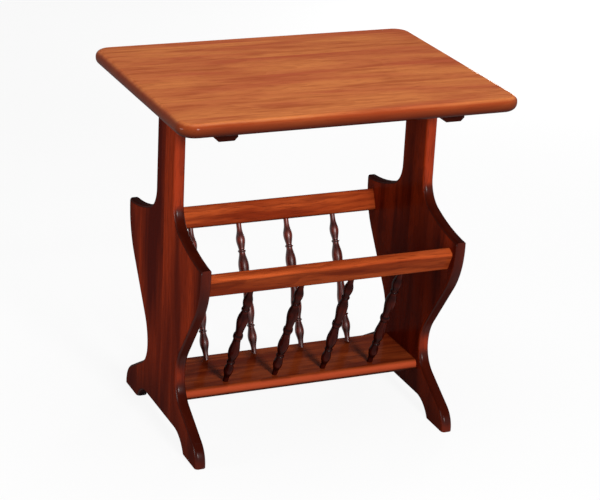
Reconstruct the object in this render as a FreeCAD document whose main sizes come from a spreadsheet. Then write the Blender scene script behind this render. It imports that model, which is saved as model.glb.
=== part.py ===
import FreeCAD, Part
import math
import os
import Sketcher

# A side table in stained oak with a V-shaped magazine rack between its two scroll-cut side panels.
# Lengths are millimetres. X runs along the table, -Y is its front and Z is up.
# The origin lies on the floor, under the middle of the table.

SIZES = {
    # Tabletop, one edge-glued board
    "table_height": 603.0,
    "top_width": 580.0,
    "top_depth": 444.0,
    "top_thickness": 24.0,
    "top_corner_radius": 30.0,
    "top_upper_edge_radius": 10.0,
    "top_lower_edge_bevel": 5.0,
    "top_side_overhang": 56.5,
    # Side panels: neck, cove, pointed ear, waist and two feet with an arch between them
    "panel_thickness": 19.0,
    "panel_edge_bevel": 4.0,
    "neck_width": 86.0,
    "cove_rise": 66.0,
    "ear_span": 352.0,
    "ear_height": 346.0,
    "ear_end": 10.0,
    "waist_width": 144.0,
    "waist_height": 118.0,
    "foot_span": 356.0,
    "foot_length": 65.0,
    "toe_height": 4.0,
    "arch_height": 24.5,
    "arch_shoulder": 43.0,
    # Rails, leaning with the spindles and held inside the ears
    "rail_height": 38.0,
    "rail_thickness": 19.0,
    "rail_edge_radius": 5.0,
    "rail_inset": 27.0,
    "rail_drop": 37.0,
    # Shelf, held inside the waist
    "shelf_inset": 6.0,
    "shelf_drop": 31.0,
    "shelf_thickness": 19.0,
    "shelf_edge_radius": 5.0,
    # Turned spindles and the sockets that hold their ends
    "spindle_pitch": 89.0,
    "spindle_foot_inset": 20.0,
    "spindle_stem_radius": 4.75,
    "spindle_belly_radius": 9.8,
    "socket_depth": 12.0,
    # Cleats under the top
    "cleat_width": 38.0,
    "cleat_height": 25.0,
    "cleat_bevel": 6.0,
    "cleat_setback": 55.0,
    # Stub tenons on the ends of the rails and the shelf
    "stub_length": 9.0,
    "stub_shoulder": 5.0,
    # Play round what sits in a hole, play at its end, and how far a cut runs past a face
    "fit_play": 0.15,
    "end_play": 1.0,
    "overrun": 10.0,
}

FORMULAS = {
    "panel_height": "table_height - top_thickness",
    "rack_width": "top_width - 2 * (top_side_overhang + panel_thickness)",
    "shelf_height": "waist_height - shelf_drop",
    "shelf_depth": "waist_width - 2 * shelf_inset",
    "rail_reach": "ear_span / 2 - rail_inset",
    "rail_level": "ear_height - rail_drop",
    "foot_reach": "shelf_depth / 2 - spindle_foot_inset",
    "rack_lean": "atan((rail_reach - foot_reach) / (rail_level - shelf_height))",
    "spindle_run": "(rail_level - shelf_height) / cos(rack_lean) - rail_height / 2",
    "upper_tenon": "socket_depth - end_play",
    "socket_radius": "spindle_stem_radius + fit_play",
    "rail_stub_thickness": "rail_thickness - 2 * stub_shoulder",
    "rail_stub_height": "rail_height - 2 * stub_shoulder",
    "shelf_stub_thickness": "shelf_thickness - 2 * stub_shoulder",
    "shelf_stub_depth": "shelf_depth - 2 * stub_shoulder",
    "mortise_depth": "stub_length + end_play",
    "cleat_length": "top_depth - 2 * cleat_setback",
}

SPINDLES_PER_ROW = 4

# Corners of the side panel between its named sizes, as shares of the way across and up.
COVE_SHARES = (0.209, 0.368)
FLANK_TOP_SHARES = (0.731, 0.579)
FLANK_FOOT_SHARES = (0.152, 0.21)
INSTEP_SHARES = (0.226, 0.644)
KNEE_SHARES = (0.802, 0.343)

# Lower half of the turning, as shares of the spindle's run and of its belly radius:
# a bulb, a thin ring, a vase and half of the middle ring.
STEM_END_SHARE = 0.05
TURNING_SHARES = (
    (0.095, 0.8),
    (0.125, 0.87),
    (0.155, 0.8),
    (0.2, 0.56),
    (0.2125, 0.74),
    (0.225, 0.58),
    (0.29, 0.93),
    (0.33, 1.0),
    (0.37, 0.93),
    (0.44, 0.68),
    (0.475, 0.64),
    (0.488, 0.86),
)
FLATS_ROUND_TURNING = 14

LEFT, RIGHT = -1, 1
FRONT, BACK = -1, 1

doc = FreeCAD.newDocument("magazine_table")
sheet = doc.addObject("Spreadsheet::Sheet", "sizes")
workings = doc.addObject("Spreadsheet::Sheet", "workings")
parts = {}


def fill_sheet():
    """Put the driving dimensions into the sheet, and under them the formulas that follow from them."""
    formulas = {alias: "=" + formula for alias, formula in FORMULAS.items()}
    rows = {**SIZES, **formulas}
    for row, (alias, content) in enumerate(rows.items(), start=1):
        sheet.set(f"A{row}", alias)
        sheet.set(f"B{row}", str(content))
        sheet.setAlias(f"B{row}", alias)
    doc.recompute()


def size(alias):
    """The number in a cell of the sheet."""
    content = sheet.get(alias)
    return getattr(content, "Value", content)


def value(expression):
    """What an expression in the sheet's sizes comes to, worked out in a cell of a second sheet."""
    workings.set("A1", "=" + expression)
    workings.recompute()
    content = workings.get("A1")
    return getattr(content, "Value", content)


def new_body(label):
    """A body that is written out under its label."""
    body = doc.addObject("PartDesign::Body", label)
    body.Label = label
    parts[label] = body
    return body


def origin_plane(body, role):
    return next(plane for plane in body.Origin.OriginFeatures if plane.Role == role)


def place(thing, x="0", y="0", z="0", axis=(0, 0, 1), turn="0"):
    """Bind an object's place to the sheet: a point, and a turn about one axis."""
    put_at(thing, "Placement", x, y, z, axis, turn)


def put_at(thing, name, x, y, z, axis, turn):
    turned = FreeCAD.Rotation(FreeCAD.Vector(*axis), value(turn))
    at = FreeCAD.Vector(value(x), value(y), value(z))
    setattr(thing, name, FreeCAD.Placement(at, turned))
    for letter, expression in zip("xyz", (x, y, z)):
        if expression != "0":
            thing.setExpression(f"{name}.Base.{letter}", expression)
    if turn != "0":
        thing.setExpression(f"{name}.Rotation.Angle", turn)


def new_sketch(body, name, role, x="0", y="0", z="0", axis=(1, 0, 0), turn="0"):
    """A sketch on one of the body's own planes, set off from it and turned about one axis of the sketch."""
    sketch = body.newObject("Sketcher::SketchObject", name)
    sketch.AttachmentSupport = [(origin_plane(body, role), "")]
    sketch.MapMode = "FlatFace"
    put_at(sketch, "AttachmentOffset", x, y, z, axis, turn)
    return sketch


def bind(sketch, constraint, expression):
    """Add a dimension to a sketch and bind it to the sheet."""
    index = sketch.addConstraint(constraint)
    name = f"dimension{index}"
    sketch.renameConstraint(index, name)
    sketch.setExpression(f"Constraints.{name}", expression)


def pin_point(sketch, geometry, point, across, up):
    """Hold a point of a sketch at a distance across and a distance up from the sketch's origin."""
    origin, start, across_axis, up_axis = -1, 1, -1, -2
    if across == "0":
        sketch.addConstraint(Sketcher.Constraint("PointOnObject", geometry, point, up_axis))
    else:
        bind(sketch, Sketcher.Constraint("DistanceX", origin, start, geometry, point, value(across)), across)
    if up == "0":
        sketch.addConstraint(Sketcher.Constraint("PointOnObject", geometry, point, across_axis))
    else:
        bind(sketch, Sketcher.Constraint("DistanceY", origin, start, geometry, point, value(up)), up)


def draw_circles(sketch, centres, radius):
    for across, up in centres:
        centre = FreeCAD.Vector(value(across), value(up), 0)
        circle = sketch.addGeometry(Part.Circle(centre, FreeCAD.Vector(0, 0, 1), value(radius)))
        bind(sketch, Sketcher.Constraint("Radius", circle, value(radius)), radius)
        pin_point(sketch, circle, 3, across, up)


def arc_between(start, end, direction):
    """The arc from one point to another that sets off in a direction, and which of its ends comes first."""
    chord = end - start
    square = FreeCAD.Vector(-direction.y, direction.x, 0)
    radius = chord.dot(chord) / (2 * square.dot(chord))
    centre = start + square * radius
    to_start, to_end = start - centre, end - centre
    angles = [math.atan2(ray.y, ray.x) for ray in (to_start, to_end)]
    if radius < 0:
        angles.reverse()
    circle = Part.Circle(centre, FreeCAD.Vector(0, 0, 1), abs(radius))
    ends = (1, 2) if radius > 0 else (2, 1)
    return Part.ArcOfCircle(circle, *angles), ends


def direction_at_end(start, end, direction):
    """The direction in which the arc that sets off in a given direction reaches its end."""
    chord = end - start
    along = chord * (2 * chord.dot(direction) / chord.dot(chord))
    return (along - direction).normalize()


def draw_outline(sketch, corners, bends):
    """Close an outline through corners bound to the sheet, with straight sides except where bends says.

    A bend is "upright_start" or "upright_end" for an arc that leaves or meets its corner upright,
    "level_end" for one that meets its corner level, and "smooth" for one that carries on from the last side.
    """
    points = [FreeCAD.Vector(value(across), value(up), 0) for across, up in corners]
    sides = []
    heading = None
    for number, (across, up) in enumerate(corners):
        start = points[number]
        end = points[(number + 1) % len(points)]
        bend = bends.get(number)
        if bend is None:
            heading = (end - start).normalize()
            side = sketch.addGeometry(Part.LineSegment(start, end))
            ends = (1, 2)
        else:
            upright = FreeCAD.Vector(0, math.copysign(1, end.y - start.y), 0)
            level = FreeCAD.Vector(math.copysign(1, end.x - start.x), 0, 0)
            setting_off = {
                "smooth": heading,
                "upright_start": upright,
                "upright_end": direction_at_end(start, end, upright),
                "level_end": direction_at_end(start, end, level),
            }[bend]
            heading = direction_at_end(start, end, setting_off)
            arc, ends = arc_between(start, end, setting_off)
            side = sketch.addGeometry(arc)
        pin_point(sketch, side, ends[0], across, up)
        if bend == "upright_start":
            sketch.addConstraint(Sketcher.Constraint("Horizontal", side, 3, side, ends[0]))
        if bend == "upright_end":
            sketch.addConstraint(Sketcher.Constraint("Horizontal", side, 3, side, ends[1]))
        if bend == "level_end":
            sketch.addConstraint(Sketcher.Constraint("Vertical", side, 3, side, ends[1]))
        sides.append((side, ends))
    for number, (side, ends) in enumerate(sides):
        last_side, last_ends = sides[number - 1]
        meeting = "Tangent" if bends.get(number) == "smooth" else "Coincident"
        sketch.addConstraint(Sketcher.Constraint(meeting, last_side, last_ends[1], side, ends[0]))


def draw_rectangle(sketch, width, height, play="0"):
    """A rectangle round the sketch's origin, with play added all round it."""
    reach, rise = f"({width} / 2 + {play})", f"({height} / 2 + {play})"
    corners = [
        (f"-{reach}", f"-{rise}"),
        (reach, f"-{rise}"),
        (reach, rise),
        (f"-{reach}", rise),
    ]
    draw_outline(sketch, corners, {})


def pad(body, sketch, length, symmetric=False):
    feature = body.newObject("PartDesign::Pad", sketch.Name + "_pad")
    feature.Profile = sketch
    feature.setExpression("Length", length)
    if symmetric:
        feature.SideType = "Symmetric"
    doc.recompute()
    return feature


def pocket(body, sketch, depth, along_normal):
    """Cut a sketch into the body, with or against the sketch's normal, and make sure that it cuts."""
    before = body.Shape.Volume
    feature = body.newObject("PartDesign::Pocket", sketch.Name + "_pocket")
    feature.Profile = sketch
    feature.setExpression("Length", depth)
    feature.Reversed = along_normal
    doc.recompute()
    if not body.Shape.Volume < before:
        raise RuntimeError(f"{feature.Name} cuts nothing")
    return feature


def mirror(body, features, role):
    """Repeat features on the other side of one of the body's planes."""
    feature = body.newObject("PartDesign::Mirrored", body.Name + "_mirrored_" + features[0].Name)
    feature.Originals = features
    feature.MirrorPlane = (origin_plane(body, role), [""])
    body.Tip = feature
    doc.recompute()
    return feature


def dress_edges(body, kind, length, chosen):
    """Fillet or chamfer the edges of the body that the test chosen picks, in the body's own frame."""
    base = body.Tip
    names = [f"Edge{n}" for n, edge in enumerate(base.Shape.Edges, start=1) if chosen(edge)]
    feature = body.newObject(f"PartDesign::{kind}", f"{body.Name}_{kind}_{len(body.Group)}")
    feature.Base = (base, names)
    feature.setExpression({"Fillet": "Radius", "Chamfer": "Size"}[kind], length)
    doc.recompute()
    return feature


def lies_at(edge, letter, level):
    """Whether an edge lies all along in one plane across an axis."""
    box = edge.BoundBox
    low, high = getattr(box, letter + "Min"), getattr(box, letter + "Max")
    near = FreeCAD.Base.Precision.confusion() * 10
    return abs(low - level) < near and abs(high - level) < near


def runs_along(edge, letter):
    """Whether an edge is straight and parallel to an axis."""
    others = [other for other in "XYZ" if other != letter]
    near = FreeCAD.Base.Precision.confusion() * 10
    return all(getattr(edge.BoundBox, other + "Length") < near for other in others)


def make_tabletop():
    """The top: a board with rounded corners, a rounded upper edge and a bevelled lower one."""
    body = new_body("tabletop")
    place(body, z="sizes.panel_height")
    board = new_sketch(body, "top_board", "XY_Plane")
    draw_rectangle(board, "sizes.top_width", "sizes.top_depth")
    pad(body, board, "sizes.top_thickness")
    dress_edges(body, "Fillet", "sizes.top_corner_radius", lambda edge: runs_along(edge, "Z"))
    thickness = size("top_thickness")
    dress_edges(body, "Fillet", "sizes.top_upper_edge_radius", lambda edge: lies_at(edge, "Z", thickness))
    dress_edges(body, "Chamfer", "sizes.top_lower_edge_bevel", lambda edge: lies_at(edge, "Z", 0))


def part_way(low, high, share):
    """An expression for the place at a share of the way between two sizes of the sheet."""
    return f"({low}) + (({high}) - ({low})) * {share}"


def panel_half_outline():
    """Corners and bends of the side panel's half in front of or behind its middle, as (depth, height)."""
    neck, ear = "sizes.neck_width / 2", "sizes.ear_span / 2"
    waist, toe = "sizes.waist_width / 2", "sizes.foot_span / 2"
    heel = f"{toe} - sizes.foot_length"
    crown = f"{heel} - sizes.arch_shoulder"
    ear_top, waist_level = "sizes.ear_height", "sizes.waist_height"
    ear_foot = "sizes.ear_height - sizes.ear_end"
    cove_top = "sizes.ear_height + sizes.cove_rise"

    def between(near, far, low, high, shares):
        return part_way(near, far, shares[0]), part_way(low, high, shares[1])

    corners = [
        ("0", "sizes.panel_height"),
        (neck, "sizes.panel_height"),
        (neck, cove_top),
        between(neck, ear, ear_top, cove_top, COVE_SHARES),
        (ear, ear_top),
        (ear, ear_foot),
        between(waist, ear, waist_level, ear_top, FLANK_TOP_SHARES),
        between(waist, ear, waist_level, ear_top, FLANK_FOOT_SHARES),
        (waist, waist_level),
        between(waist, toe, "0", waist_level, INSTEP_SHARES),
        between(waist, toe, "0", waist_level, KNEE_SHARES),
        (toe, "sizes.toe_height"),
        (toe, "0"),
        (heel, "0"),
        (crown, "sizes.arch_height"),
        ("0", "sizes.arch_height"),
    ]
    bends = {
        2: "upright_start",
        3: "smooth",
        5: "upright_start",
        7: "upright_end",
        8: "upright_start",
        10: "upright_end",
        13: "level_end",
    }
    return corners, bends


def make_side_panel(label, side):
    """A side panel, sawn from a board and bevelled all round, with mortises in its inner face."""
    body = new_body(label)
    turn = {LEFT: "180", RIGHT: "0"}[side]
    place(body, x=f"{side} * sizes.rack_width / 2", turn=turn)
    board = new_sketch(body, label + "_board", "YZ_Plane")
    draw_outline(board, *panel_half_outline())
    half = pad(body, board, "sizes.panel_thickness")
    mirror(body, [half], "XZ_Plane")
    thickness, height = size("panel_thickness"), size("panel_height")

    def on_outline(edge):
        on_face = lies_at(edge, "X", 0) or lies_at(edge, "X", thickness)
        return on_face and not lies_at(edge, "Z", 0) and not lies_at(edge, "Z", height)

    dress_edges(body, "Chamfer", "sizes.panel_edge_bevel", on_outline)
    middle = "sizes.shelf_height - sizes.shelf_thickness / 2"
    shelf_mouth = new_sketch(body, label + "_shelf_mortise", "YZ_Plane", y=middle)
    draw_rectangle(shelf_mouth, "sizes.shelf_stub_depth", "sizes.shelf_stub_thickness", "sizes.fit_play")
    pocket(body, shelf_mouth, "sizes.mortise_depth", along_normal=True)
    rail_mouth = new_sketch(
        body,
        label + "_rail_mortise",
        "YZ_Plane",
        x="sizes.rail_reach",
        y="sizes.rail_level",
        axis=(0, 0, 1),
        turn="-sizes.rack_lean",
    )
    draw_rectangle(rail_mouth, "sizes.rail_stub_thickness", "sizes.rail_stub_height", "sizes.fit_play")
    rail_mortise = pocket(body, rail_mouth, "sizes.mortise_depth", along_normal=True)
    mirror(body, [rail_mortise], "XZ_Plane")


def make_cleat(label, side):
    """A batten under the top, on the panel's inner face, with its lower edges bevelled."""
    body = new_body(label)
    turn = {LEFT: "0", RIGHT: "180"}[side]
    place(body, x=f"{side} * sizes.rack_width / 2", z="sizes.panel_height - sizes.cleat_height", turn=turn)
    section = new_sketch(body, label + "_section", "XZ_Plane")
    width, height, bevel = "sizes.cleat_width", "sizes.cleat_height", "sizes.cleat_bevel"
    corners = [
        (bevel, "0"),
        (f"{width} - {bevel}", "0"),
        (width, bevel),
        (width, height),
        ("0", height),
        ("0", bevel),
    ]
    draw_outline(section, corners, {})
    pad(body, section, "sizes.cleat_length", symmetric=True)


def spindle_place(number):
    """How far along the table a spindle stands, counted from the left."""
    steps = number - (SPINDLES_PER_ROW + 1) / 2
    return f"{steps} * sizes.spindle_pitch"


def make_rail(label, row):
    """A rail with rounded edges, a stub tenon at each end and sockets for the spindles underneath."""
    body = new_body(label)
    place(
        body,
        y=f"{row} * sizes.rail_reach",
        z="sizes.rail_level",
        axis=(1, 0, 0),
        turn=f"{-row} * sizes.rack_lean",
    )
    section = new_sketch(body, label + "_section", "YZ_Plane")
    draw_rectangle(section, "sizes.rail_thickness", "sizes.rail_height")
    pad(body, section, "sizes.rack_width", symmetric=True)
    dress_edges(body, "Fillet", "sizes.rail_edge_radius", lambda edge: runs_along(edge, "X"))
    end = new_sketch(body, label + "_stub", "YZ_Plane")
    draw_rectangle(end, "sizes.rail_stub_thickness", "sizes.rail_stub_height")
    pad(body, end, "sizes.rack_width + 2 * sizes.stub_length", symmetric=True)
    sockets = new_sketch(body, label + "_sockets", "XY_Plane", z="-sizes.rail_height / 2")
    centres = [(spindle_place(number), "0") for number in range(1, SPINDLES_PER_ROW + 1)]
    draw_circles(sockets, centres, "sizes.socket_radius")
    pocket(body, sockets, "sizes.socket_depth", along_normal=True)


def make_shelf():
    """The shelf between the panels, with a stub tenon at each end and two rows of leaning sockets."""
    body = new_body("bottom_shelf")
    place(body, z="sizes.shelf_height - sizes.shelf_thickness")
    board = new_sketch(body, "shelf_board", "XY_Plane")
    draw_rectangle(board, "sizes.rack_width", "sizes.shelf_depth")
    pad(body, board, "sizes.shelf_thickness")
    dress_edges(body, "Fillet", "sizes.shelf_edge_radius", lambda edge: runs_along(edge, "X"))
    end = new_sketch(body, "shelf_stub", "YZ_Plane", y="sizes.shelf_thickness / 2")
    draw_rectangle(end, "sizes.shelf_stub_depth", "sizes.shelf_stub_thickness")
    pad(body, end, "sizes.rack_width + 2 * sizes.stub_length", symmetric=True)
    for row, name in ((FRONT, "front_sockets"), (BACK, "back_sockets")):
        sockets = new_sketch(
            body,
            name,
            "XY_Plane",
            y=f"{row} * (sizes.foot_reach + sizes.overrun * sin(sizes.rack_lean))",
            z="sizes.shelf_thickness + sizes.overrun * cos(sizes.rack_lean)",
            turn=f"{-row} * sizes.rack_lean",
        )
        centres = [(spindle_place(number), "0") for number in range(1, SPINDLES_PER_ROW + 1)]
        draw_circles(sockets, centres, "sizes.socket_radius")
        pocket(body, sockets, "sizes.socket_depth + sizes.overrun", along_normal=False)


def turning_profile():
    """Radius and height of each edge round a spindle, from the end of its lower tenon to that of its upper."""
    stem, belly, run = size("spindle_stem_radius"), size("spindle_belly_radius"), size("spindle_run")
    lower = [(stem, STEM_END_SHARE)]
    lower += [(belly * radius_share, share) for share, radius_share in TURNING_SHARES]
    upper = [(radius, 1 - share) for radius, share in reversed(lower)]
    turned = [(radius, run * share) for radius, share in lower + upper]
    return [(stem, -size("socket_depth")), *turned, (stem, run + size("upper_tenon"))]


def turned_solid(profile):
    """A turning about Z, drawn with flats round it so that a set of eight stays light."""
    angles = [2 * math.pi * flat / FLATS_ROUND_TURNING for flat in range(FLATS_ROUND_TURNING)]
    rings = [
        [FreeCAD.Vector(radius * math.cos(angle), radius * math.sin(angle), height) for angle in angles]
        for radius, height in profile
    ]
    outlines = [rings[0], rings[-1]]
    for below, above in zip(rings, rings[1:]):
        for corner in range(FLATS_ROUND_TURNING):
            outlines.append([below[corner - 1], below[corner], above[corner], above[corner - 1]])
    faces = [Part.Face(Part.makePolygon([*outline, outline[0]])) for outline in outlines]
    return Part.Solid(Part.Shell(faces))


def make_spindles():
    """Two rows of turned spindles, each standing on the bottom of its socket in the shelf."""
    turning = turned_solid(turning_profile())
    for row, name in ((FRONT, "front_spindle"), (BACK, "back_spindle")):
        for number in range(1, SPINDLES_PER_ROW + 1):
            label = f"{name}_{number}"
            spindle = doc.addObject("Part::Feature", label)
            spindle.Label = label
            spindle.Shape = turning
            place(
                spindle,
                x=spindle_place(number),
                y=f"{row} * sizes.foot_reach",
                z="sizes.shelf_height",
                axis=(1, 0, 0),
                turn=f"{-row} * sizes.rack_lean",
            )
            parts[label] = spindle


def check_document():
    """Stop if any object failed, or any piece is empty or not a sound solid."""
    for thing in doc.Objects:
        if "Invalid" in thing.State or "Error" in thing.State:
            raise RuntimeError(f"{thing.Name} failed: {thing.State}")
    for label, piece in parts.items():
        if piece.Shape.isNull() or not piece.Shape.isValid() or not piece.Shape.Solids:
            raise RuntimeError(f"{label} is not a sound solid")


def write_parts():
    os.makedirs("parts", exist_ok=True)
    for label, piece in parts.items():
        piece.Shape.exportStep(f"parts/{label}.step")
        solids = len(piece.Shape.Solids)
        print(f"{label}: {solids} solids, {piece.Shape.Volume / 1000:.1f} cubic centimetres")


fill_sheet()
make_tabletop()
make_side_panel("left_side_panel", LEFT)
make_side_panel("right_side_panel", RIGHT)
make_cleat("left_top_cleat", LEFT)
make_cleat("right_top_cleat", RIGHT)
make_rail("front_rail", FRONT)
make_rail("back_rail", BACK)
make_shelf()
make_spindles()
doc.removeObject(workings.Name)
doc.recompute()
check_document()
write_parts()
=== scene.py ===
import math

import bmesh
import bpy
from mathutils import Matrix, Vector


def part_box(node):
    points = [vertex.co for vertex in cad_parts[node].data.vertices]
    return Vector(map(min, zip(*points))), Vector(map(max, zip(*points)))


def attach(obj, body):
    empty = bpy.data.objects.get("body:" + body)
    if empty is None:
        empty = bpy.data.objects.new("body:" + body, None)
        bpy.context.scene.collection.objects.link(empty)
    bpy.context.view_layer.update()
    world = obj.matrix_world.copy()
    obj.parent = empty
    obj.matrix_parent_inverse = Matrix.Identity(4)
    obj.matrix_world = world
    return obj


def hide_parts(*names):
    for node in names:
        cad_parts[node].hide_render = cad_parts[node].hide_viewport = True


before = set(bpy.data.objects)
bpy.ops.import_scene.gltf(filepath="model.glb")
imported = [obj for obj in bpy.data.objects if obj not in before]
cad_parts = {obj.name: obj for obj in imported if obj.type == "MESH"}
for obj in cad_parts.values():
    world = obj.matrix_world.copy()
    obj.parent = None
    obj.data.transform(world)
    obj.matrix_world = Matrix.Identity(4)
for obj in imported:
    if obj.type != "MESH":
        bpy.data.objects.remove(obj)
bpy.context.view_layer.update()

# Lengths below are in millimetres unless a comment says otherwise, and MM turns them to metres
MM = 0.001

# The rack has a front and a back row, and the table a left and a right side: the signs of their Y and X
ROWS = {"front": -1, "back": 1}
SIDES = {"left": -1, "right": 1}

# Points closer than this, in metres, are one point
SAME_POINT = 1e-6

# An edge runs along an axis if at least this share of its length does
RUNS_ALONG = 0.999

# Flat steps across the rounded edge of a board, and the angle in degrees from which an edge stays sharp
BOARD_ROUND_STEPS = 6
BOARD_CREASE = 50

# Tabletop
TOP_CORNER_RADIUS = 30
TOP_CORNER_STEPS = 16
TOP_UPPER_ROUND = 10
TOP_LOWER_ROUND = 12
TOP_ROUND_STEPS = 8

# Side panels. The edge of one half is followed from the middle of the neck down to the middle of the arch.
# Each step says how the edge runs, where it ends as distance from the middle and height above the floor,
# and for a bend the direction in which it leaves or arrives.
PANEL_INNER_FACE = 214.5
PANEL_THICKNESS = 19
PANEL_HEIGHT = 579
PANEL_EDGE_ROUND = 6
DOWN = (0, -1)
INWARD = (-1, 0)
PANEL_HALF_EDGE = (
    ("straight", (43, 579), None),
    ("straight", (43, 412), None),
    ("leaves", (70.8, 370.3), DOWN),
    ("follows", (176, 346), None),
    ("straight", (176, 336), None),
    ("leaves", (148, 250), DOWN),
    ("straight", (87.8, 165.9), None),
    ("arrives", (72, 118), DOWN),
    ("leaves", (96, 76), DOWN),
    ("straight", (157, 40.5), None),
    ("arrives", (178, 4), DOWN),
    ("straight", (178, 0), None),
    ("straight", (113, 0), None),
    ("arrives", (70, 24.5), INWARD),
    ("straight", (0, 24.5), None),
)
DEGREES_PER_BEND_STEP = 3

# Rack: two leaning rails, the shelf and two rows of four spindles
RAIL_REACH = 149
RAIL_LEVEL = 309
RAIL_THICKNESS = 19
RAIL_HEIGHT = 38
RAIL_EDGE_ROUND = 5
SHELF_DEPTH = 132
SHELF_TOP = 87
SHELF_THICKNESS = 19
SHELF_EDGE_ROUND = 8
SPINDLE_PITCH = 89
SPINDLES_PER_ROW = 4
SPINDLE_FOOT_REACH = 46
SPINDLE_END_IN_SOCKET = 9
SPINDLE_HELD_END = 0.8
SPINDLE_SIDES = 16
SPINDLE_SMOOTHING = 2
SPINDLE_CREASE = 180
RACK_LEAN = math.atan2(RAIL_REACH - SPINDLE_FOOT_REACH, RAIL_LEVEL - SHELF_TOP)
SPINDLE_RUN = math.hypot(RAIL_REACH - SPINDLE_FOOT_REACH, RAIL_LEVEL - SHELF_TOP) - RAIL_HEIGHT / 2

# Turning of a spindle from its foot to the middle of its centre ring, as share of the run and radius
SPINDLE_TURNING = (
    (0.000, 4.70),
    (0.040, 4.60),
    (0.068, 5.50),
    (0.095, 7.50),
    (0.122, 8.50),
    (0.150, 7.85),
    (0.176, 6.40),
    (0.196, 5.40),
    (0.204, 5.40),
    (0.205, 6.80),
    (0.2125, 7.45),
    (0.220, 6.80),
    (0.221, 5.55),
    (0.236, 5.60),
    (0.262, 7.20),
    (0.295, 9.15),
    (0.330, 9.80),
    (0.365, 9.25),
    (0.402, 7.85),
    (0.440, 6.75),
    (0.476, 6.45),
    (0.4775, 7.60),
    (0.487, 8.45),
    (0.500, 8.65),
)

# Cleats under the top, and the pan-head screws that hold them to the top and to the panels
CLEAT_BEVEL = 6
CLEAT_END_ROUND = 0.8
CLEAT_END_STEPS = 2
CLEAT_CREASE = 30
TOP_SCREW_REACH = 120
PANEL_SCREW_REACH = 22
PANEL_SCREW_LIFT = 2
SCREW_HEAD_RADIUS = 3.8
SCREW_HEAD_HEIGHT = 2.4
SCREW_HEAD_CELLS = 5
SCREW_ROUND = 1.44
SCREW_ROUND_STEPS = 4
SCREW_RECESS_DEPTH = 1.5
SCREW_CREASE = 40

# Oak. Its rings are 3 mm apart and its pores 0.3 mm wide in the real wood, and both are drawn coarser here
# so that the render shows them. The log wanders slowly along its length and leans a little, and LOG_SHIFT
# is how far from one another the boards can start in it. The wood is darker towards the floor, darkest up
# to the lower of the two heights given below and no darker above the higher. The grain values turn a
# pattern so that its X runs along the grain.
RING_SPACING = 15
PORE_LENGTH = 26
PORE_WIDTH = 1.5
PORE_DEPTH = 0.1
PORE_STAIN_SHARE = 0.55
LOG_WANDER_LENGTH = 250
LOG_WANDER_WIDTH = 70
LOG_SWAY = 50
LOG_LEAN = (0.0, math.radians(3.0), math.radians(1.5))
LOG_SHIFT = (900, 60, 30)
BOARD_TONE_SPREAD = 0.14
DARKEST_BELOW = 20
UNDARKENED_ABOVE = 120
LACQUER_IOR = 1.5
PANEL_CUT_FROM = (300, 0, 0)
GRAIN_ALONG_X = (0.0, 0.0, 0.0)
GRAIN_ALONG_Y = (0.0, 0.0, -math.pi / 2)
GRAIN_UPRIGHT = (0.0, math.pi / 2, 0.0)

# The wave texture has a ring for each 2 pi / 20 of its scaled coordinates
WAVE_RING = 2 * math.pi / 20

# Crystals of the zinc plating are far finer than a pixel, and are drawn this wide so that they show
ZINC_CRYSTAL = 2

# Studio: the floor, the weak even light, and the place, width and watts of each soft lamp
FLOOR_REACH = 30000
FLOOR_WHITE_SHARE = 0.9
EVEN_LIGHT = 0.18
LAMP_AIM = (0, 0, 350)
SOFTBOXES = {
    "front_softbox": ((120, -3545, 1710), 700, 130),
    "overhead_softbox": ((0, -100, 2200), 1200, 16),
    "left_softbox": ((-3000, 0, 500), 800, 29),
    "back_softbox": ((2200, 2300, 500), 800, 46),
}

# Camera: its place, its turn to the right, dip and roll in degrees, and its lens
CAMERA_PLACE = (-1296.6, -2916.5, 1535.3)
CAMERA_TURN = 24.16
CAMERA_DIP = 21.29
CAMERA_ROLL = 2.98
CAMERA_LENS = 121.84
CAMERA_SENSOR_WIDTH = 36


def block(low, high):
    """A bmesh with one box between two corners in metres."""
    work = bmesh.new()
    place = Matrix.LocRotScale((low + high) / 2, None, high - low)
    bmesh.ops.create_cube(work, size=1.0, matrix=place)
    return work


def edges_along(work, axis):
    """The edges that run along X, Y or Z, given as 0, 1 or 2."""
    found = []
    for edge in work.edges:
        run = edge.verts[1].co - edge.verts[0].co
        if abs(run.normalized()[axis]) > RUNS_ALONG:
            found.append(edge)
    return found


def edges_at(work, axis, level):
    """The edges with both ends at one level of X, Y or Z."""
    found = []
    for edge in work.edges:
        if all(abs(vert.co[axis] - level) < SAME_POINT for vert in edge.verts):
            found.append(edge)
    return found


def new_verts(grown):
    """The vertices that an extrusion or a spin made."""
    return [part for part in grown if isinstance(part, bmesh.types.BMVert)]


def round_over(work, edges, radius, segments):
    """Rounds edges as a router bit does, or bevels them with one segment."""
    bmesh.ops.bevel(
        work,
        geom=edges,
        offset=radius * MM,
        offset_type="OFFSET",
        segments=segments,
        profile=0.5,
        affect="EDGES",
        material=-1,
    )


def finish_piece(work, name, finish, nodes, crease=BOARD_CREASE):
    """Makes the bmesh an object of the one rigid body, in place of its CAD nodes."""
    bmesh.ops.recalc_face_normals(work, faces=work.faces[:])
    mesh = bpy.data.meshes.new(name)
    work.to_mesh(mesh)
    work.free()
    mesh.shade_smooth()
    mesh.set_sharp_from_angle(angle=math.radians(crease))
    mesh.materials.append(finish)
    piece = bpy.data.objects.new(name, mesh)
    bpy.context.scene.collection.objects.link(piece)
    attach(piece, "root")
    if nodes:
        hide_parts(*nodes)
    return piece


def keep_flats_flat(piece):
    """Weights the normals by area, so that a wide flat stays flat beside its round edge."""
    weighting = piece.modifiers.new("flat_faces", "WEIGHTED_NORMAL")
    weighting.keep_sharp = True


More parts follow.
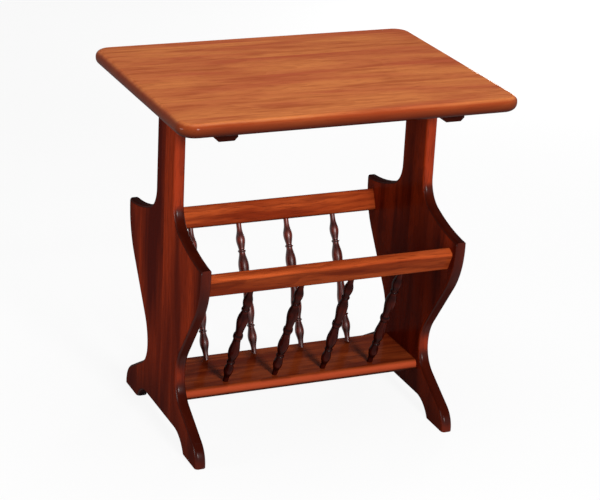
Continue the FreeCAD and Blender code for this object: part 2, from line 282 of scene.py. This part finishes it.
def make_tabletop(finish):
    """The top board, with round corners and fully rounded edges."""
    low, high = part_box("tabletop")
    work = block(low, high)
    round_over(work, edges_along(work, 2), TOP_CORNER_RADIUS, TOP_CORNER_STEPS)
    round_over(work, edges_at(work, 2, high.z), TOP_UPPER_ROUND, TOP_ROUND_STEPS)
    round_over(work, edges_at(work, 2, low.z), TOP_LOWER_ROUND, TOP_ROUND_STEPS)
    piece = finish_piece(work, "tabletop_board", finish, ["tabletop"])
    keep_flats_flat(piece)


def direction_at_other_end(direction, chord):
    """A circular bend meets its chord at the same angle at both ends."""
    along = chord.normalized()
    return 2 * direction.dot(along) * along - direction


def follow_bend(work, tip, end, heading):
    """Spins the last vertex of the edge round to the end of a circular bend that leaves along heading."""
    chord = end - tip.co
    across = Vector((0, -heading.z, heading.y))
    radius = chord.length_squared / (2 * chord.dot(across))
    turn = 2 * math.atan2(chord.dot(across), chord.dot(heading))
    steps = max(2, round(math.degrees(abs(turn)) / DEGREES_PER_BEND_STEP))
    spun = bmesh.ops.spin(
        work,
        geom=[tip],
        cent=tip.co + radius * across,
        axis=(1, 0, 0),
        angle=turn,
        steps=steps,
    )
    return new_verts(spun["geom_last"])[0]


def draw_panel_half(work, face):
    """Draws the edge of half a side panel on the plane x = face."""
    tip = work.verts.new((face * MM, 0, PANEL_HEIGHT * MM))
    heading = Vector((0, 1, 0))
    for kind, (reach, height), direction in PANEL_HALF_EDGE:
        end = Vector((face, reach, height)) * MM
        chord = end - tip.co
        given = Vector((0, *direction)) if direction else heading
        if kind == "straight":
            tip = bmesh.ops.extrude_vert_indiv(work, verts=[tip])["verts"][0]
            bmesh.ops.translate(work, verts=[tip], vec=chord)
            heading = chord.normalized()
        elif kind == "arrives":
            tip = follow_bend(work, tip, end, direction_at_other_end(given, chord))
            heading = given
        else:
            tip = follow_bend(work, tip, end, given)
            heading = direction_at_other_end(given, chord)


def make_side_panel(side, finish):
    """A scroll-cut board: half of its edge is drawn, mirrored, filled, thickened and rounded over."""
    sign = SIDES[side]
    work = bmesh.new()
    draw_panel_half(work, sign * PANEL_INNER_FACE)
    bmesh.ops.mirror(work, geom=work.verts[:] + work.edges[:], axis="Y", merge_dist=SAME_POINT)
    bmesh.ops.remove_doubles(work, verts=work.verts[:], dist=SAME_POINT)
    face = bmesh.ops.contextual_create(work, geom=work.edges[:])["faces"]
    grown = bmesh.ops.extrude_face_region(work, geom=face)
    bmesh.ops.translate(work, verts=new_verts(grown["geom"]), vec=(sign * PANEL_THICKNESS * MM, 0, 0))
    bmesh.ops.recalc_face_normals(work, faces=work.faces[:])
    rims = []
    for level in (PANEL_INNER_FACE, PANEL_INNER_FACE + PANEL_THICKNESS):
        rims += edges_at(work, 0, sign * level * MM)
    left_square = edges_at(work, 2, 0) + edges_at(work, 2, PANEL_HEIGHT * MM)
    rounded = [edge for edge in rims if edge not in left_square]
    round_over(work, rounded, PANEL_EDGE_ROUND, BOARD_ROUND_STEPS)
    node = f"{side}_side_panel"
    piece = finish_piece(work, f"{node}_board", finish, [node])
    keep_flats_flat(piece)


def make_cleat(side, finish, screw_finish):
    """A batten with bevelled lower edges, two screws up into the top and two into the panel."""
    node = f"{side}_top_cleat"
    low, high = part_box(node)
    work = block(low, high)
    lower_edges = edges_at(work, 2, low.z)
    round_over(work, [edge for edge in edges_along(work, 1) if edge in lower_edges], CLEAT_BEVEL, 1)
    end_edges = edges_at(work, 1, low.y) + edges_at(work, 1, high.y)
    round_over(work, end_edges, CLEAT_END_ROUND, CLEAT_END_STEPS)
    finish_piece(work, f"{node}_batten", finish, [node], crease=CLEAT_CREASE)
    middle = (low + high) / 2
    inner_face = low.x if side == "right" else high.x
    for row, sign in ROWS.items():
        under = Vector((middle.x, sign * TOP_SCREW_REACH * MM, low.z))
        make_screw(f"{side}_{row}_top_screw", under, Vector((0, 0, -1)), screw_finish)
        beside = Vector((inner_face, sign * PANEL_SCREW_REACH * MM, middle.z + PANEL_SCREW_LIFT * MM))
        make_screw(f"{side}_{row}_panel_screw", beside, Vector((-SIDES[side], 0, 0)), screw_finish)


def make_screw(name, spot, outward, finish):
    """A pan head with a cross recess, from a square grid whose rim is drawn out to a circle."""
    radius = SCREW_HEAD_RADIUS * MM
    work = bmesh.new()
    bmesh.ops.create_grid(work, x_segments=SCREW_HEAD_CELLS, y_segments=SCREW_HEAD_CELLS, size=radius)
    for vert in work.verts:
        if vert.is_boundary:
            vert.co = vert.co.normalized() * radius
    # The cross is the middle cell and its four neighbours
    cell = 2 * radius / SCREW_HEAD_CELLS
    cross = []
    for face in work.faces:
        centre = face.calc_center_median() / cell
        if round(abs(centre.x)) + round(abs(centre.y)) <= 1:
            cross.append(face)
    rim = [edge for edge in work.edges if edge.is_boundary]
    skirt = bmesh.ops.extrude_edge_only(work, edges=rim)
    bmesh.ops.translate(work, verts=new_verts(skirt["geom"]), vec=(0, 0, -SCREW_HEAD_HEIGHT * MM))
    sunk = bmesh.ops.extrude_face_region(work, geom=cross)
    bmesh.ops.translate(work, verts=new_verts(sunk["geom"]), vec=(0, 0, -SCREW_RECESS_DEPTH * MM))
    bmesh.ops.delete(work, geom=cross, context="FACES_ONLY")
    round_over(work, rim, SCREW_ROUND, SCREW_ROUND_STEPS)
    bmesh.ops.holes_fill(work, edges=[edge for edge in work.edges if edge.is_boundary])
    seat = Matrix.Translation((0, 0, SCREW_HEAD_HEIGHT * MM))
    turn = outward.to_track_quat("Z", "Y").to_matrix().to_4x4()
    bmesh.ops.transform(work, matrix=Matrix.Translation(spot) @ turn @ seat, verts=work.verts[:])
    finish_piece(work, name, finish, [], crease=SCREW_CREASE)


def make_rail(row, finish):
    """A bar between the panels that leans with the spindles under it."""
    half = Vector((PANEL_INNER_FACE, RAIL_THICKNESS / 2, RAIL_HEIGHT / 2)) * MM
    work = block(-half, half)
    round_over(work, edges_along(work, 0), RAIL_EDGE_ROUND, BOARD_ROUND_STEPS)
    lean = Matrix.Rotation(-ROWS[row] * RACK_LEAN, 4, "X")
    place = Matrix.Translation(Vector((0, ROWS[row] * RAIL_REACH, RAIL_LEVEL)) * MM)
    bmesh.ops.transform(work, matrix=place @ lean, verts=work.verts[:])
    node = f"{row}_rail"
    piece = finish_piece(work, f"{node}_bar", finish, [node])
    keep_flats_flat(piece)


def make_shelf(finish):
    """The board at the waist of the panels, which carries both rows of spindles."""
    low = Vector((-PANEL_INNER_FACE, -SHELF_DEPTH / 2, SHELF_TOP - SHELF_THICKNESS)) * MM
    high = Vector((PANEL_INNER_FACE, SHELF_DEPTH / 2, SHELF_TOP)) * MM
    work = block(low, high)
    round_over(work, edges_along(work, 0), SHELF_EDGE_ROUND, BOARD_ROUND_STEPS)
    piece = finish_piece(work, "bottom_shelf_board", finish, ["bottom_shelf"])
    keep_flats_flat(piece)


def make_spindle(row, number, finish):
    """A turned spindle: half of its profile is drawn, mirrored about the centre ring and spun round."""
    work = bmesh.new()
    stem_radius = SPINDLE_TURNING[0][1]
    middle = SPINDLE_RUN / 2
    tip = work.verts.new(Vector((stem_radius, 0, -SPINDLE_END_IN_SOCKET - middle)) * MM)
    # A second ring close to the hidden end keeps the stem full where the subdivision rounds it
    held_end = ((SPINDLE_HELD_END - SPINDLE_END_IN_SOCKET) / SPINDLE_RUN, stem_radius)
    for share, radius in (held_end, *SPINDLE_TURNING):
        tip = bmesh.ops.extrude_vert_indiv(work, verts=[tip])["verts"][0]
        tip.co = Vector((radius, 0, share * SPINDLE_RUN - middle)) * MM
    bmesh.ops.mirror(work, geom=work.verts[:] + work.edges[:], axis="Z", merge_dist=SAME_POINT)
    bmesh.ops.remove_doubles(work, verts=work.verts[:], dist=SAME_POINT)
    bmesh.ops.spin(
        work,
        geom=work.verts[:] + work.edges[:],
        cent=(0, 0, 0),
        axis=(0, 0, 1),
        angle=2 * math.pi,
        steps=SPINDLE_SIDES,
        use_merge=True,
    )
    bmesh.ops.remove_doubles(work, verts=work.verts[:], dist=SAME_POINT)
    bmesh.ops.holes_fill(work, edges=[edge for edge in work.edges if edge.is_boundary])
    lean = Matrix.Rotation(-ROWS[row] * RACK_LEAN, 4, "X")
    along = (number - (SPINDLES_PER_ROW + 1) / 2) * SPINDLE_PITCH
    stand = Matrix.Translation((0, 0, middle * MM))
    place = Matrix.Translation(Vector((along, ROWS[row] * SPINDLE_FOOT_REACH, SHELF_TOP)) * MM)
    bmesh.ops.transform(work, matrix=place @ lean @ stand, verts=work.verts[:])
    node = f"{row}_spindle_{number}"
    name = f"{node}_turning"
    piece = finish_piece(work, name, finish, [node], crease=SPINDLE_CREASE)
    smoothing = piece.modifiers.new("turned_smooth", "SUBSURF")
    smoothing.levels = SPINDLE_SMOOTHING
    smoothing.render_levels = SPINDLE_SMOOTHING


def linear(hex_colour):
    """An sRGB hex value as linear RGBA, by the two parts of the sRGB curve."""
    parts = [int(hex_colour[i:i + 2], 16) / 255 for i in (1, 3, 5)]
    return [p / 12.92 if p <= 0.04045 else ((p + 0.055) / 1.055) ** 2.4 for p in parts] + [1.0]


def add_node(tree, kind, sockets=None, **settings):
    """Adds one node. sockets gives each input a value, or the output that it is linked to."""
    node = tree.nodes.new(kind)
    for name, value in settings.items():
        setattr(node, name, value)
    for name, value in (sockets or {}).items():
        if isinstance(value, bpy.types.NodeSocket):
            tree.links.new(value, node.inputs[name])
        else:
            node.inputs[name].default_value = value
    return node


def new_finish(name):
    """A material with an empty node tree."""
    finish = bpy.data.materials.new(name)
    finish.use_nodes = True
    finish.node_tree.nodes.clear()
    return finish, finish.node_tree


def oak_stained_and_lacquered(
    name,
    turn,
    heart,
    board_width,
    patch,
    ring_share,
    stains,
    cut_and_shade_shares,
    shine,
    start=(0, 0, 0),
    darker_reach=None,
    edge_light_and_shade=None,
):
    """Red oak, planed, wiped with cherry stain and sprayed with clear gloss lacquer.

    To the eye: an orange-red ground in long cloudy patches, short darker strokes and pointed arches of
    rings where the open pores took more stain, fine pore lines along the grain, cuts across the grain that
    drank the stain and went nearly black, and a thin wet shine on the edges that hands have polished.

    turn is the Mapping rotation that lays the grain along the pattern's X. In millimetres, heart is the
    place of the log's heart in the pattern, board_width the width of the glued boards, patch the length and
    width of a patch, and start the place in the plank that the piece is cut from, along, across and through
    its grain. ring_share is the strength of the rings. stains are the colours of the pale ground, its
    patches, the strokes and rings, the pores, and the cuts across the grain. cut_and_shade_shares says how
    far the ends go towards that last stain, and how far the long edges, and further the underside, are
    darkened towards it as painted shade. shine is the weight of the lacquer on the flats, its weight on the
    edges, and its roughness. darker_reach gives the two distances from the middle between which the wood
    turns darker towards its ends, and edge_light_and_shade a colour laid over the edges as painted light
    and shade, with its share.
    """
    finish, tree = new_finish(name)
    pale, body, ring, pore, end = [linear(stain) for stain in stains]
    end_share, edge_shade_share, under_shade_share = cut_and_shade_shares
    place = add_node(tree, "ShaderNodeTexCoord")
    grain = add_node(
        tree,
        "ShaderNodeMapping",
        {"Vector": place.outputs["Object"], "Rotation": turn, "Location": [part * MM for part in start]},
    )

    # Each glued board is cut from another place in the log, so its rings and its tone start elsewhere
    split = add_node(tree, "ShaderNodeSeparateXYZ", {"Vector": grain.outputs[0]})
    count = add_node(
        tree, "ShaderNodeMath", {0: split.outputs["Y"], 1: board_width * MM}, operation="DIVIDE"
    )
    board = add_node(tree, "ShaderNodeMath", {0: count.outputs[0]}, operation="FLOOR")
    within = add_node(tree, "ShaderNodeMath", {0: count.outputs[0]}, operation="FRACT")
    across = add_node(
        tree,
        "ShaderNodeMath",
        {0: within.outputs[0], 1: board_width * MM, 2: -board_width * MM / 2},
        operation="MULTIPLY_ADD",
    )
    log = add_node(tree, "ShaderNodeTexWhiteNoise", {"W": board.outputs[0]}, noise_dimensions="1D")
    shift = add_node(
        tree,
        "ShaderNodeVectorMath",
        {0: log.outputs["Color"], 1: [part * MM for part in LOG_SHIFT]},
        operation="MULTIPLY",
    )
    sawn = add_node(
        tree,
        "ShaderNodeCombineXYZ",
        {"X": split.outputs["X"], "Y": across.outputs[0], "Z": split.outputs["Z"]},
    )
    cut = add_node(
        tree, "ShaderNodeVectorMath", {0: sawn.outputs[0], 1: shift.outputs[0]}, operation="ADD"
    )

    # The log leans and wanders a little, so that the rings run out in long pointed arches
    slow_along = 1 / (LOG_WANDER_LENGTH * MM)
    slow_across = 1 / (LOG_WANDER_WIDTH * MM)
    slow = add_node(
        tree,
        "ShaderNodeMapping",
        {"Vector": cut.outputs[0], "Scale": (slow_along, slow_across, slow_across)},
    )
    wander = add_node(tree, "ShaderNodeTexNoise", {"Vector": slow.outputs[0], "Scale": 1.0, "Detail": 2.0})
    swing = LOG_SWAY * MM
    sway = add_node(
        tree,
        "ShaderNodeVectorMath",
        {0: wander.outputs["Color"], 1: (0.0, swing, swing), 2: (0.0, -swing / 2, -swing / 2)},
        operation="MULTIPLY_ADD",
    )
    grown = add_node(tree, "ShaderNodeVectorMath", {0: cut.outputs[0], 1: sway.outputs[0]}, operation="ADD")
    trunk = add_node(
        tree,
        "ShaderNodeMapping",
        {
            "Vector": grown.outputs[0],
            "Location": [part * MM for part in heart],
            "Rotation": LOG_LEAN,
        },
    )
    rings = add_node(
        tree,
        "ShaderNodeTexWave",
        {
            "Vector": trunk.outputs[0],
            "Scale": WAVE_RING / (RING_SPACING * MM),
            "Distortion": 3.0,
            "Detail": 2.0,
            "Detail Scale": 0.8,
        },
        wave_type="RINGS",
        rings_direction="X",
        wave_profile="SAW",
    )
    ring_tone = add_node(
        tree,
        "ShaderNodeMapRange",
        {"Value": rings.outputs["Fac"], "From Min": 0.3, "From Max": 1.0, "To Max": ring_share},
        interpolation_type="SMOOTHSTEP",
    )

    # Cloudy patches of the wiped stain, and the tone of the board under them
    long_way = 1 / (patch[0] * MM)
    short_way = 1 / (patch[1] * MM)
    drawn = add_node(
        tree, "ShaderNodeMapping", {"Vector": cut.outputs[0], "Scale": (long_way, short_way, short_way)}
    )
    clouds = add_node(tree, "ShaderNodeTexNoise", {"Vector": drawn.outputs[0], "Scale": 1.0, "Detail": 3.0})
    board_tone = add_node(
        tree,
        "ShaderNodeMath",
        {0: log.outputs["Value"], 1: BOARD_TONE_SPREAD, 2: -BOARD_TONE_SPREAD / 2},
        operation="MULTIPLY_ADD",
    )
    mixed_tone = add_node(
        tree, "ShaderNodeMath", {0: clouds.outputs["Fac"], 1: board_tone.outputs[0]}, operation="ADD"
    )
    patch_tone = add_node(
        tree, "ShaderNodeMapRange", {"Value": mixed_tone.outputs[0], "From Min": 0.36, "From Max": 0.64}
    )

    # Short strokes where the stain stayed on open grain, half as long as a patch and a third as wide
    stroked = add_node(
        tree,
        "ShaderNodeMapping",
        {"Vector": cut.outputs[0], "Scale": (2 * long_way, 3 * short_way, 3 * short_way)},
    )
    strokes = add_node(
        tree, "ShaderNodeTexNoise", {"Vector": stroked.outputs[0], "Scale": 1.0, "Detail": 2.0}
    )
    stroke_tone = add_node(
        tree,
        "ShaderNodeMapRange",
        {"Value": strokes.outputs["Fac"], "From Min": 0.48, "From Max": 0.74, "To Max": 0.6},
        interpolation_type="SMOOTHSTEP",
    )

    # Open pores, as short thin lines along the grain
    fine_along = 1 / (PORE_LENGTH * MM)
    fine_across = 1 / (PORE_WIDTH * MM)
    fine = add_node(
        tree,
        "ShaderNodeMapping",
        {"Vector": cut.outputs[0], "Scale": (fine_along, fine_across, fine_across)},
    )
    pores = add_node(tree, "ShaderNodeTexNoise", {"Vector": fine.outputs[0], "Scale": 1.0, "Detail": 1.0})
    pore_tone = add_node(
        tree, "ShaderNodeMapRange", {"Value": pores.outputs["Fac"], "From Min": 0.54, "From Max": 0.74}
    )
    pore_stain = add_node(
        tree, "ShaderNodeMath", {0: pore_tone.outputs[0], 1: PORE_STAIN_SHARE}, operation="MULTIPLY"
    )

    # Where the surface turns across the grain, the open ends of the pores take far more stain. The long
    # edges and the underside of a board are darkened towards that stain too, as painted shade.
    facing = add_node(tree, "ShaderNodeMapping", {"Vector": place.outputs["Normal"], "Rotation": turn})
    faced = add_node(tree, "ShaderNodeSeparateXYZ", {"Vector": facing.outputs[0]})
    crossed = add_node(tree, "ShaderNodeMath", {0: faced.outputs["X"]}, operation="ABSOLUTE")
    end_cut = add_node(tree, "ShaderNodeMath", {0: crossed.outputs[0], 1: end_share}, operation="MULTIPLY")
    side_shade = add_node(
        tree,
        "ShaderNodeMath",
        {0: faced.outputs["Z"], 1: -under_shade_share, 2: edge_shade_share},
        operation="MULTIPLY_ADD",
    )
    cut_and_shade_share = add_node(
        tree, "ShaderNodeMath", {0: end_cut.outputs[0], 1: side_shade.outputs[0]}, operation="MAXIMUM"
    )
    end_and_shade_tone = add_node(
        tree,
        "ShaderNodeMapRange",
        {"Value": cut_and_shade_share.outputs[0], "From Min": 0.03, "From Max": 0.36, "To Max": 0.9},
        interpolation_type="SMOOTHSTEP",
    )

    # The wood is darker close to the floor
    spot = add_node(tree, "ShaderNodeSeparateXYZ", {"Vector": place.outputs["Object"]})
    darkening_tone = add_node(
        tree,
        "ShaderNodeMapRange",
        {
            "Value": spot.outputs["Z"],
            "From Min": DARKEST_BELOW * MM,
            "From Max": UNDARKENED_ABOVE * MM,
            "To Min": 0.7,
            "To Max": 0.0,
        },
    )
    # Where a reach is given, the wood is also darker far out from the middle
    if darker_reach:
        reach = add_node(tree, "ShaderNodeMath", {0: spot.outputs["Y"]}, operation="ABSOLUTE")
        reach_tone = add_node(
            tree,
            "ShaderNodeMapRange",
            {
                "Value": reach.outputs[0],
                "From Min": darker_reach[0] * MM,
                "From Max": darker_reach[1] * MM,
                "To Max": 0.7,
            },
        )
        darkening_tone = add_node(
            tree,
            "ShaderNodeMath",
            {0: darkening_tone.outputs[0], 1: reach_tone.outputs[0]},
            operation="MAXIMUM",
        )

    # The stains, laid over one another
    ground = add_node(
        tree, "ShaderNodeMix", {0: patch_tone.outputs[0], 6: pale, 7: body}, data_type="RGBA"
    )
    stroked_ground = add_node(
        tree, "ShaderNodeMix", {0: stroke_tone.outputs[0], 6: ground.outputs[2], 7: ring}, data_type="RGBA"
    )
    ringed = add_node(
        tree,
        "ShaderNodeMix",
        {0: ring_tone.outputs[0], 6: stroked_ground.outputs[2], 7: ring},
        data_type="RGBA",
    )
    lined = add_node(
        tree, "ShaderNodeMix", {0: pore_stain.outputs[0], 6: ringed.outputs[2], 7: pore}, data_type="RGBA"
    )
    # A colour painted over the edges and the underside: painted shade where it is darker than the flat, a
    # painted highlight where it is brighter
    if edge_light_and_shade:
        edge_light_shade_colour, edge_light_shade_share = edge_light_and_shade
        edge_light_shade_tone = add_node(
            tree,
            "ShaderNodeMapRange",
            {"Value": faced.outputs["Z"], "From Min": 0.97, "From Max": 0.5, "To Max": edge_light_shade_share},
            interpolation_type="SMOOTHSTEP",
        )
        lined = add_node(
            tree,
            "ShaderNodeMix",
            {0: edge_light_shade_tone.outputs[0], 6: lined.outputs[2], 7: linear(edge_light_shade_colour)},
            data_type="RGBA",
        )
    stained = add_node(
        tree, "ShaderNodeMix", {0: end_and_shade_tone.outputs[0], 6: lined.outputs[2], 7: end}, data_type="RGBA"
    )
    darkened = add_node(
        tree, "ShaderNodeMix", {0: darkening_tone.outputs[0], 6: stained.outputs[2], 7: end}, data_type="RGBA"
    )

    # The lacquer sinks a little into the pores, where it is duller. All of the shine is the lacquer's.
    dullness = add_node(
        tree, "ShaderNodeMapRange", {"Value": pore_tone.outputs[0], "To Min": 0.34, "To Max": 0.5}
    )
    relief = add_node(
        tree,
        "ShaderNodeBump",
        {"Height": pore_tone.outputs[0], "Strength": 0.25, "Distance": PORE_DEPTH * MM},
        invert=True,
    )
    flat_shine, edge_shine, coat_roughness = shine
    if flat_shine == edge_shine:
        coat = flat_shine
    else:
        flatness = add_node(tree, "ShaderNodeMath", {0: faced.outputs["Z"]}, operation="ABSOLUTE")
        polish = add_node(
            tree,
            "ShaderNodeMapRange",
            {
                "Value": flatness.outputs[0],
                "From Min": 0.8,
                "From Max": 0.95,
                "To Min": edge_shine,
                "To Max": flat_shine,
            },
        )
        # Cuts across the grain drink the lacquer too, and stay dull
        unsunk = add_node(
            tree,
            "ShaderNodeMapRange",
            {
                "Value": end_cut.outputs[0],
                "From Min": 0.4,
                "From Max": 0.6,
                "To Min": 1.0,
                "To Max": 0.1,
            },
        )
        kept_coat = add_node(
            tree, "ShaderNodeMath", {0: polish.outputs[0], 1: unsunk.outputs[0]}, operation="MULTIPLY"
        )
        coat = kept_coat.outputs[0]
    shader = add_node(
        tree,
        "ShaderNodeBsdfPrincipled",
        {
            "Base Color": darkened.outputs[2],
            "Roughness": dullness.outputs[0],
            "Normal": relief.outputs[0],
            "IOR": LACQUER_IOR,
            "Specular IOR Level": 0.0,
            "Coat Weight": coat,
            "Coat Roughness": coat_roughness,
            "Coat IOR": LACQUER_IOR,
        },
    )
    add_node(tree, "ShaderNodeOutputMaterial", {"Surface": shader.outputs[0]})
    return finish


def steel_zinc_plated(name):
    """Screw steel, cold headed and zinc plated: a cool pale grey with a soft, slightly uneven shine."""
    finish, tree = new_finish(name)
    place = add_node(tree, "ShaderNodeTexCoord")
    clouds = add_node(
        tree,
        "ShaderNodeTexNoise",
        {"Vector": place.outputs["Object"], "Scale": 1 / (ZINC_CRYSTAL * MM), "Detail": 3.0},
    )
    dullness = add_node(
        tree, "ShaderNodeMapRange", {"Value": clouds.outputs["Fac"], "To Min": 0.28, "To Max": 0.45}
    )
    shader = add_node(
        tree,
        "ShaderNodeBsdfPrincipled",
        {"Base Color": linear("#b9bcc0"), "Metallic": 1.0, "Roughness": dullness.outputs[0]},
    )
    add_node(tree, "ShaderNodeOutputMaterial", {"Surface": shader.outputs[0]})
    return finish


def seen_directly(tree):
    """1 where the camera looks straight, in a reflection or through something, and 0 for other light."""
    path = add_node(tree, "ShaderNodeLightPath")
    straight = path.outputs["Is Camera Ray"]
    mirrored = path.outputs["Is Glossy Ray"]
    through = path.outputs["Is Transmission Ray"]
    either = add_node(tree, "ShaderNodeMath", {0: straight, 1: mirrored}, operation="MAXIMUM")
    any_way = add_node(tree, "ShaderNodeMath", {0: either.outputs[0], 1: through}, operation="MAXIMUM")
    return any_way.outputs[0]


def make_floor():
    """A wide pale floor that the camera sees as near white and that keeps the table's shadow."""
    work = bmesh.new()
    bmesh.ops.create_grid(work, x_segments=1, y_segments=1, size=FLOOR_REACH * MM)
    mesh = bpy.data.meshes.new("studio_floor")
    work.to_mesh(mesh)
    work.free()
    floor = bpy.data.objects.new("studio_floor", mesh)
    bpy.context.scene.collection.objects.link(floor)
    finish, tree = new_finish("white_paper_sweep")
    seen = seen_directly(tree)
    # Light that goes on from the floor to the table meets a greyer paper, so that the sides stay deep
    shade = add_node(
        tree, "ShaderNodeMix", {0: seen, 6: linear("#898989"), 7: linear("#f6f6f6")}, data_type="RGBA"
    )
    paper = add_node(tree, "ShaderNodeBsdfDiffuse", {"Color": shade.outputs[2]})
    white = add_node(tree, "ShaderNodeEmission", {"Color": (1, 1, 1, 1), "Strength": 1.0})
    white_share = add_node(tree, "ShaderNodeMath", {0: seen, 1: FLOOR_WHITE_SHARE}, operation="MULTIPLY")
    mixed = add_node(
        tree, "ShaderNodeMixShader", {0: white_share.outputs[0], 1: paper.outputs[0], 2: white.outputs[0]}
    )
    add_node(tree, "ShaderNodeOutputMaterial", {"Surface": mixed.outputs[0]})
    mesh.materials.append(finish)


def add_softbox(name, place, width, watts):
    """A square soft lamp that faces the middle of the table."""
    lamp = bpy.data.lights.new(name, "AREA")
    lamp.size = width * MM
    lamp.energy = watts
    box = bpy.data.objects.new(name, lamp)
    bpy.context.scene.collection.objects.link(box)
    box.location = Vector(place) * MM
    towards = Vector(LAMP_AIM) * MM - box.location
    box.rotation_euler = towards.to_track_quat("-Z", "Y").to_euler()


def light_studio():
    """A white surround that gives a weak even light, and soft lamps in front, overhead, left and behind."""
    world = bpy.data.worlds.new("studio_surround")
    bpy.context.scene.world = world
    world.use_nodes = True
    tree = world.node_tree
    tree.nodes.clear()
    strength = add_node(
        tree, "ShaderNodeMapRange", {"Value": seen_directly(tree), "To Min": EVEN_LIGHT, "To Max": 1.0}
    )
    light = add_node(
        tree, "ShaderNodeBackground", {"Color": (1, 1, 1, 1), "Strength": strength.outputs[0]}
    )
    add_node(tree, "ShaderNodeOutputWorld", {"Surface": light.outputs[0]})
    for name, (place, width, watts) in SOFTBOXES.items():
        add_softbox(name, place, width, watts)


def set_camera():
    """A long lens in front of the table, to its left and above it, held slightly rolled."""
    turn = math.radians(CAMERA_TURN)
    dip = math.radians(CAMERA_DIP)
    roll = math.radians(CAMERA_ROLL)
    ahead = Vector((math.sin(turn) * math.cos(dip), math.cos(turn) * math.cos(dip), -math.sin(dip)))
    level = Vector((math.cos(turn), -math.sin(turn), 0))
    above = level.cross(ahead)
    right = math.cos(roll) * level + math.sin(roll) * above
    up = math.cos(roll) * above - math.sin(roll) * level
    lens = bpy.data.cameras.new("photo_camera")
    lens.sensor_fit = "HORIZONTAL"
    lens.sensor_width = CAMERA_SENSOR_WIDTH
    lens.lens = CAMERA_LENS
    camera = bpy.data.objects.new("photo_camera", lens)
    bpy.context.scene.collection.objects.link(camera)
    facing = Matrix((right, up, -ahead)).transposed().to_4x4()
    camera.matrix_world = Matrix.Translation(Vector(CAMERA_PLACE) * MM) @ facing
    bpy.context.scene.camera = camera


# Painted shade on the top: its edges and its underside take a darker, redder colour and go towards the
# darkest stain
top_oak = oak_stained_and_lacquered(
    "oak_cherry_stained_gloss_top",
    turn=GRAIN_ALONG_X,
    heart=(0, 0, -650),
    board_width=96,
    patch=(240, 46),
    ring_share=0.25,
    stains=("#c8743f", "#b05432", "#9a4622", "#8a3c1c", "#3a0d06"),
    cut_and_shade_shares=(0.2, 0.2, 0.2),
    shine=(0.05, 0.13, 0.17),
    edge_light_and_shade=("#8a300f", 0.8),
)
panel_oak = oak_stained_and_lacquered(
    "oak_cherry_stained_gloss_panels",
    turn=GRAIN_UPRIGHT,
    heart=(0, 0, -170),
    board_width=118,
    patch=(520, 90),
    ring_share=0.25,
    stains=("#a03414", "#4e1006", "#480e05", "#3a0b04", "#320c06"),
    cut_and_shade_shares=(1, 0, 0),
    shine=(0.025, 0.2, 0.22),
    start=PANEL_CUT_FROM,
    # The panels are darker towards their front and back ends
    darker_reach=(150, 174),
)
cleat_oak = oak_stained_and_lacquered(
    "oak_cherry_stained_gloss_cleats",
    turn=GRAIN_ALONG_Y,
    heart=(0, 0, -600),
    board_width=400,
    patch=(300, 30),
    ring_share=0.3,
    stains=("#7c2a14", "#6a220f", "#54180a", "#421107", "#220906"),
    cut_and_shade_shares=(1, 0, 0),
    shine=(0.03, 0.03, 0.15),
)
# The rack's long edges, and its undersides more, are darkened a little as painted shade
rack_oak = oak_stained_and_lacquered(
    "oak_cherry_stained_gloss_rack",
    turn=GRAIN_ALONG_X,
    heart=(0, 0, -340),
    board_width=400,
    patch=(220, 26),
    ring_share=0.4,
    stains=("#c05426", "#903214", "#70240f", "#591a0a", "#34100a"),
    cut_and_shade_shares=(1, 0.1, 0.18),
    shine=(0.05, 0.05, 0.15),
)
# The shelf is a darker copy of the rack's oak, painted shade for the top's shadow over it, with a painted
# highlight on its edges and painted shade on its underside
shaded_shelf_oak = oak_stained_and_lacquered(
    "oak_cherry_stained_gloss_shelf_shaded",
    turn=GRAIN_ALONG_X,
    heart=(0, 0, -340),
    board_width=400,
    patch=(220, 26),
    ring_share=0.4,
    stains=("#ad4c22", "#822d12", "#65200e", "#501709", "#1c0806"),
    cut_and_shade_shares=(1, 0.1, 0.6),
    shine=(0.05, 0.05, 0.15),
    edge_light_and_shade=("#e25c38", 0.55),
)
# Lit and shaded copies of one finish: the back row has lighter stains, painted light, and more lacquer,
# while the front row has darker stains, painted shade
turning_stains_lit_and_shaded = {
    "front": ("#4a140a", "#340b06", "#280705", "#200504", "#120303"),
    "back": ("#7c2c1e", "#561910", "#42110a", "#350d08", "#200806"),
}
turning_shine = {"front": (0.12, 0.12, 0.22), "back": (1.0, 1.0, 0.34)}
turning_oak = {}
for row in ROWS:
    turning_oak[row] = oak_stained_and_lacquered(
        f"oak_cherry_stained_gloss_{row}_turnings",
        turn=(ROWS[row] * RACK_LEAN, math.pi / 2, 0.0),
        heart=(0, 0, -100),
        board_width=400,
        patch=(110, 12),
        ring_share=0.3,
        stains=turning_stains_lit_and_shaded[row],
        cut_and_shade_shares=(1, 0, 0),
        shine=turning_shine[row],
    )
screw_steel = steel_zinc_plated("steel_zinc_plated_screws")

make_tabletop(top_oak)
make_shelf(shaded_shelf_oak)
for side in SIDES:
    make_side_panel(side, panel_oak)
    make_cleat(side, cleat_oak, screw_steel)
for row in ROWS:
    make_rail(row, rack_oak)
    for number in range(1, SPINDLES_PER_ROW + 1):
        make_spindle(row, number, turning_oak[row])

make_floor()
light_studio()
set_camera()
bpy.context.scene.view_settings.view_transform = "Standard"
